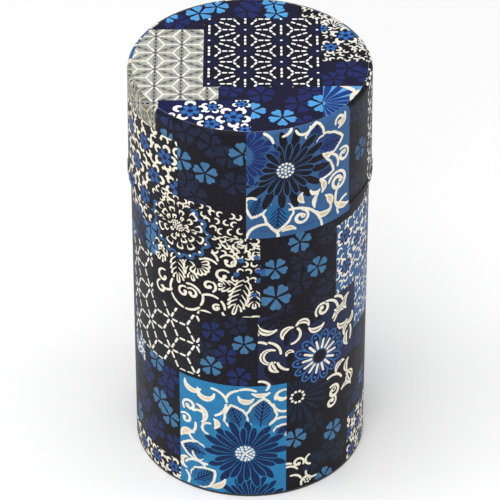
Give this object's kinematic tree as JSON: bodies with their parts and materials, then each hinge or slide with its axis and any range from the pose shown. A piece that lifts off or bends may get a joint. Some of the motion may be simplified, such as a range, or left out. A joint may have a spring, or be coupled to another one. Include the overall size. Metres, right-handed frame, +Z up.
{
  "type": "canister",
  "caption": "Tall round tinplate canister wrapped in printed patchwork paper, with a slip-on cap over a pressed inner lid with a knob.",
  "frame": {"origin": "centre of the base, on the surface the tin stands on", "axes": "+Z up along the tin's axis; -Y faces the front of the print"},
  "size_m": [0.08, 0.08, 0.149],
  "materials": {
    "tinplate": "bright rolled tinplate",
    "black_lacquer": "dark stoved lacquer on tinplate",
    "knob_metal": "turned, satin",
    "printed_paper": "matte handmade paper with screen-printed patchwork in navy, blue and cream"
  },
  "bodies": {
    "body": {"body_tube": "tinplate", "base_plate": "black_lacquer", "body_paper": "printed_paper"},
    "inner_lid": {"inner_lid_pan": "tinplate", "inner_lid_knob": "knob_metal", "knob_rivet": "knob_metal", "knob_washer": "knob_metal"},
    "cap": {"cap_tube": "tinplate", "cap_top_plate": "tinplate", "cap_side_paper": "printed_paper", "cap_top_paper": "printed_paper"}
  },
  "joints": [
    {"name": "cap_lift", "type": "slide", "parent": "body", "child": "cap", "axis": [0, 0, 1], "range_m": [0, 0.11]},
    {"name": "inner_lid_lift", "type": "slide", "parent": "body", "child": "inner_lid", "axis": [0, 0, 1], "range_m": [0, 0.0495]}
  ],
  "couplings": [
    {"joint": "inner_lid_lift", "follows": "cap_lift", "ratio": 0.45}
  ]
}
